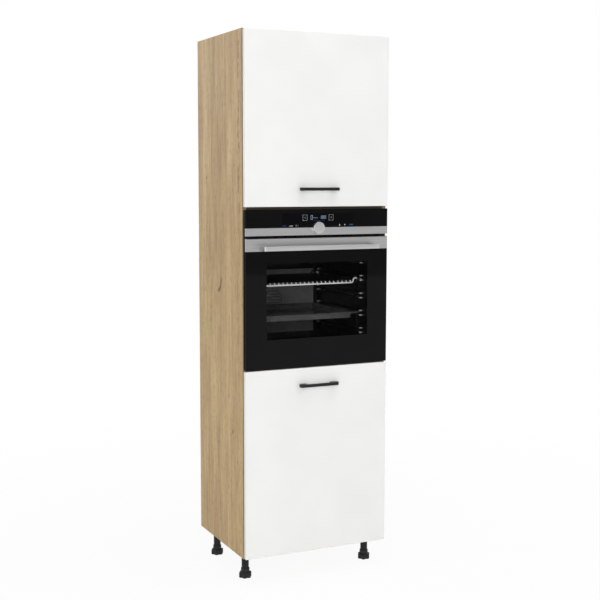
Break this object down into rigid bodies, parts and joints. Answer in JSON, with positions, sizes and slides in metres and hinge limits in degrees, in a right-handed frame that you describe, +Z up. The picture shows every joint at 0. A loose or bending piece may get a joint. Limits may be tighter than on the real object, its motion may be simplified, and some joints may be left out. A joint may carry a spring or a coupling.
{
  "type": "kitchen oven cabinet",
  "caption": "Tall kitchen cabinet in oak decor on legs, with white side-hinged doors above and below a built-in oven behind a drop-down glass door.",
  "frame": {"origin": "on the floor, under the middle of the object's box: X at the cabinet's middle, Y halfway between the oven handle's front and the oven's rear", "axes": "+X to the right seen from the front, +Y from the doors to the rear, +Z up"},
  "size_m": [0.6, 0.592, 2.07],
  "materials": {
    "oak_board": "matt melamine in natural oak",
    "back_board": "matt printed hardboard",
    "white_front": "high gloss white",
    "black_handle": "satin black",
    "zinc_fitting": "zinc plated",
    "galvanised_sheet": "galvanised",
    "black_plastic": "moulded, matt",
    "black_enamel": "vitreous enamel",
    "black_sheet": "satin black",
    "seal_rubber": "soft",
    "wire_steel": "bright",
    "fan_steel": "pressed",
    "trim_steel": "brushed along its length",
    "handle_steel": "brushed along its length",
    "dial_steel": "turned",
    "black_glass": "black printed glass",
    "clear_glass": "clear",
    "lamp_glass": "ribbed",
    "display": "dark, with lit figures"
  },
  "bodies": {
    "carcass": {"side_panel_left": "oak_board", "side_panel_right": "oak_board", "bottom_panel": "oak_board", "top_panel": "oak_board", "oven_shelf": "oak_board", "niche_top_shelf": "oak_board", "upper_shelf": "oak_board", "lower_shelf": "oak_board", "back_panel_upper": "back_board", "back_panel_lower": "back_board", "shelf_pins": "zinc_fitting", "cam_locks": "zinc_fitting", "cam_bolts": "zinc_fitting", "upper_hinge_mounts": "zinc_fitting", "lower_hinge_mounts": "zinc_fitting", "wall_brackets": "zinc_fitting", "chipboard_screws": "zinc_fitting", "oven_fixing_screws": "zinc_fitting", "oven_hinge_cassettes": "zinc_fitting", "oven_housing": "galvanised_sheet", "fan_motor": "galvanised_sheet", "leg_sockets": "black_plastic", "leg_tubes": "black_plastic", "control_carrier": "black_plastic", "terminal_box": "black_plastic", "oven_front_frame": "black_enamel", "oven_cavity": "black_enamel", "fan_baffle": "black_enamel", "baking_tray": "black_enamel", "cavity_seal": "seal_rubber", "rack_ladder_left": "wire_steel", "rack_ladder_right": "wire_steel", "wire_rack": "wire_steel", "ring_heater": "wire_steel", "grill_element": "wire_steel", "control_trim": "trim_steel", "control_glass": "black_glass", "oven_lamp": "lamp_glass", "display_module": "display"},
    "upper_door": {"upper_door_panel": "white_front", "upper_door_handle": "black_handle", "upper_handle_screws": "zinc_fitting", "upper_hinge_cups": "zinc_fitting"},
    "lower_door": {"lower_door_panel": "white_front", "lower_door_handle": "black_handle", "lower_handle_screws": "zinc_fitting", "lower_hinge_cups": "zinc_fitting"},
    "oven_door": {"oven_door_glass": "black_glass", "oven_door_trim": "trim_steel", "oven_door_frame": "black_sheet", "oven_inner_glass": "clear_glass", "oven_handle": "handle_steel", "oven_door_hinges": "zinc_fitting"},
    "dial": {"dial_knob": "dial_steel"},
    "fan": {"fan_wheel": "fan_steel"},
    "front_left_foot": {"foot_front_left": "black_plastic"},
    "front_right_foot": {"foot_front_right": "black_plastic"},
    "rear_left_foot": {"foot_rear_left": "black_plastic"},
    "rear_right_foot": {"foot_rear_right": "black_plastic"}
  },
  "joints": [
    {"name": "upper_door_hinge", "type": "hinge", "parent": "carcass", "child": "upper_door", "pos_m": [0.2905, -0.25, 1.7475], "axis": [0, 0, 1], "range_deg": [0, 105], "stiffness_Nm_per_rad": 0.6, "springref_deg": -20.05},
    {"name": "lower_door_hinge", "type": "hinge", "parent": "carcass", "child": "lower_door", "pos_m": [0.2905, -0.25, 0.46], "axis": [0, 0, 1], "range_deg": [0, 105], "stiffness_Nm_per_rad": 0.6, "springref_deg": -20.05},
    {"name": "oven_door_hinge", "type": "hinge", "parent": "carcass", "child": "oven_door", "pos_m": [0, -0.2435, 0.8333], "axis": [1, 0, 0], "range_deg": [0, 90], "stiffness_Nm_per_rad": 8, "springref_deg": -11.46},
    {"name": "dial_turn", "type": "hinge", "parent": "carcass", "child": "dial", "pos_m": [0, -0.256, 1.3473], "axis": [0, 1, 0], "continuous": true},
    {"name": "fan_turn", "type": "hinge", "parent": "carcass", "child": "fan", "pos_m": [0, 0.237, 1.022], "axis": [0, 1, 0], "continuous": true},
    {"name": "front_left_foot_screw", "type": "hinge", "parent": "carcass", "child": "front_left_foot", "pos_m": [-0.26, -0.151, 0.01], "axis": [0, 0, 1], "continuous": true},
    {"name": "front_right_foot_screw", "type": "hinge", "parent": "carcass", "child": "front_right_foot", "pos_m": [0.26, -0.151, 0.01], "axis": [0, 0, 1], "continuous": true},
    {"name": "rear_left_foot_screw", "type": "hinge", "parent": "carcass", "child": "rear_left_foot", "pos_m": [-0.26, 0.149, 0.01], "axis": [0, 0, 1], "continuous": true},
    {"name": "rear_right_foot_screw", "type": "hinge", "parent": "carcass", "child": "rear_right_foot", "pos_m": [0.26, 0.149, 0.01], "axis": [0, 0, 1], "continuous": true}
  ]
}
